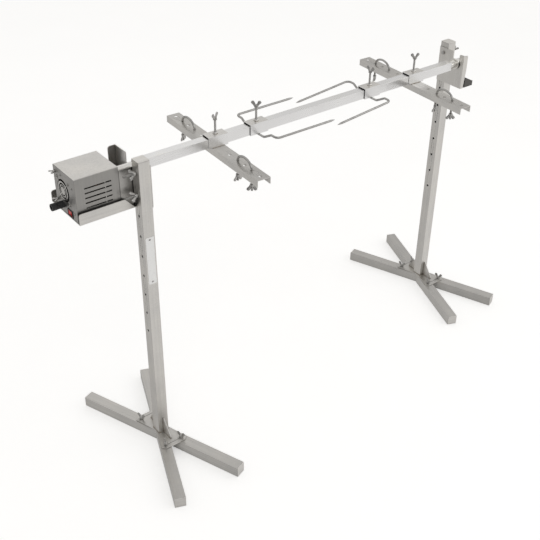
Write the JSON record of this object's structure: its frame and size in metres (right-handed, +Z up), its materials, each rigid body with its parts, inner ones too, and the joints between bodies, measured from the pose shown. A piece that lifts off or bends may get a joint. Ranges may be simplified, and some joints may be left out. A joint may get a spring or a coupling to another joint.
{
  "type": "motorised roasting spit stand",
  "caption": "Free-standing motor-driven roasting spit: two tubular stands with cross feet carry a square spit with sliding meat forks and carcass clamps; a geared motor turns it.",
  "frame": {"origin": "on the floor, on the axis of the motor post", "axes": "+X along the spit from the motor post towards the support post; +Y from the motor post across to the spit's side; +Z up"},
  "size_m": [1.8972, 0.823, 1.1781],
  "materials": {
    "stainless_tube": "brushed",
    "stainless_sheet": "satin",
    "tube_end_cap": "satin",
    "turned_steel": "turned",
    "polished_steel": "polished",
    "label_sheet": "satin, blank",
    "rivet_metal": "domed",
    "core_steel": "satin",
    "copper_wire": "lacquered copper wire",
    "bush_brass": "machined",
    "guard_wire": "satin",
    "black_plastic": "fine grain",
    "red_plastic": "gloss"
  },
  "bodies": {
    "stand": {"base_gussets": "stainless_sheet", "base_plates": "stainless_sheet", "bracket_bolts": "polished_steel", "bracket_wing_nuts": "polished_steel", "cable_gland": "black_plastic", "coupling_guard": "stainless_sheet", "cradle_bracket": "stainless_sheet", "cradle_shelf": "black_plastic", "drive_plate": "stainless_sheet", "end_plate_screws": "polished_steel", "fan_guard": "guard_wire", "gear_pillars": "turned_steel", "gear_plate": "stainless_sheet", "label_plate": "label_sheet", "label_rivets": "rivet_metal", "motor_bracket": "stainless_sheet", "motor_cover": "stainless_sheet", "motor_end_frames": "core_steel", "motor_end_plate": "stainless_sheet", "motor_leg_back": "stainless_tube", "motor_leg_front": "stainless_tube", "motor_leg_left": "stainless_tube", "motor_leg_right": "stainless_tube", "motor_post": "stainless_tube", "shaft_bushes": "bush_brass", "stator": "core_steel", "stator_windings": "copper_wire", "support_leg_back": "stainless_tube", "support_leg_front": "stainless_tube", "support_leg_left": "stainless_tube", "support_leg_right": "stainless_tube", "support_post": "stainless_tube", "switch_bezel": "black_plastic", "tube_caps": "tube_end_cap", "wing_screws": "polished_steel"},
    "spit": {"spit_tube": "stainless_tube", "drive_journal": "turned_steel", "cradle_journal": "turned_steel", "output_shaft": "turned_steel", "output_gear": "turned_steel"},
    "countershaft": {"countershaft": "turned_steel"},
    "rotor": {"rotor": "turned_steel", "fan_impeller": "black_plastic"},
    "switch_rocker": {"switch_rocker": "red_plastic"},
    "fork_a": {"fork_a_collar": "stainless_sheet", "fork_a_prongs": "polished_steel"},
    "fork_a_screw": {"fork_a_screw": "polished_steel"},
    "fork_b": {"fork_b_collar": "stainless_sheet", "fork_b_prongs": "polished_steel"},
    "fork_b_screw": {"fork_b_screw": "polished_steel"},
    "clamp_a": {"clamp_a_collar": "stainless_sheet", "clamp_a_channel": "stainless_sheet"},
    "clamp_a_screw": {"clamp_a_screw": "polished_steel"},
    "clamp_a_u_bolts": {"clamp_a_u_bolts": "polished_steel", "clamp_a_wing_nuts": "polished_steel"},
    "clamp_b": {"clamp_b_collar": "stainless_sheet", "clamp_b_channel": "stainless_sheet"},
    "clamp_b_screw": {"clamp_b_screw": "polished_steel"},
    "clamp_b_u_bolts": {"clamp_b_u_bolts": "polished_steel", "clamp_b_wing_nuts": "polished_steel"}
  },
  "joints": [
    {"name": "spit_spin", "type": "hinge", "parent": "stand", "child": "spit", "pos_m": [0, 0.088, 1.084], "axis": [1, 0, 0], "continuous": true},
    {"name": "countershaft_spin", "type": "hinge", "parent": "stand", "child": "countershaft", "pos_m": [-0.1, 0.06354, 1.04803], "axis": [1, 0, 0], "continuous": true},
    {"name": "rotor_spin", "type": "hinge", "parent": "stand", "child": "rotor", "pos_m": [-0.15, 0.104, 1.064], "axis": [1, 0, 0], "continuous": true},
    {"name": "switch_rock", "type": "hinge", "parent": "stand", "child": "switch_rocker", "pos_m": [-0.208, 0.072, 1.001], "axis": [0, 0, 1], "range_deg": [0, 9]},
    {"name": "fork_a_slide", "type": "slide", "parent": "spit", "child": "fork_a", "axis": [1, 0, 0], "range_m": [-0.08, 0.005]},
    {"name": "fork_b_slide", "type": "slide", "parent": "spit", "child": "fork_b", "axis": [1, 0, 0], "range_m": [-0.005, 0.1]},
    {"name": "clamp_a_slide", "type": "slide", "parent": "spit", "child": "clamp_a", "axis": [1, 0, 0], "range_m": [-0.24, 0.005]},
    {"name": "clamp_b_slide", "type": "slide", "parent": "spit", "child": "clamp_b", "axis": [1, 0, 0], "range_m": [-0.005, 0.15]},
    {"name": "fork_a_screw_turn", "type": "hinge", "parent": "fork_a", "child": "fork_a_screw", "pos_m": [0.4995, 0.088, 1.13], "axis": [0, 0, 1], "range_deg": [0, 540]},
    {"name": "fork_b_screw_turn", "type": "hinge", "parent": "fork_b", "child": "fork_b_screw", "pos_m": [1.0165, 0.088, 1.13], "axis": [0, 0, 1], "range_deg": [0, 540]},
    {"name": "clamp_a_screw_turn", "type": "hinge", "parent": "clamp_a", "child": "clamp_a_screw", "pos_m": [0.3325, 0.088, 1.13], "axis": [0, 0, 1], "range_deg": [0, 540]},
    {"name": "clamp_b_screw_turn", "type": "hinge", "parent": "clamp_b", "child": "clamp_b_screw", "pos_m": [1.2425, 0.088, 1.13], "axis": [0, 0, 1], "range_deg": [0, 540]},
    {"name": "clamp_a_u_bolt_lift", "type": "slide", "parent": "clamp_a", "child": "clamp_a_u_bolts", "axis": [0, 0, 1], "range_m": [0, 0.046]},
    {"name": "clamp_b_u_bolt_lift", "type": "slide", "parent": "clamp_b", "child": "clamp_b_u_bolts", "axis": [0, 0, 1], "range_m": [0, 0.046]}
  ],
  "couplings": [
    {"joint": "countershaft_spin", "follows": "spit_spin", "ratio": -3.8333},
    {"joint": "rotor_spin", "follows": "spit_spin", "ratio": 14.694}
  ]
}
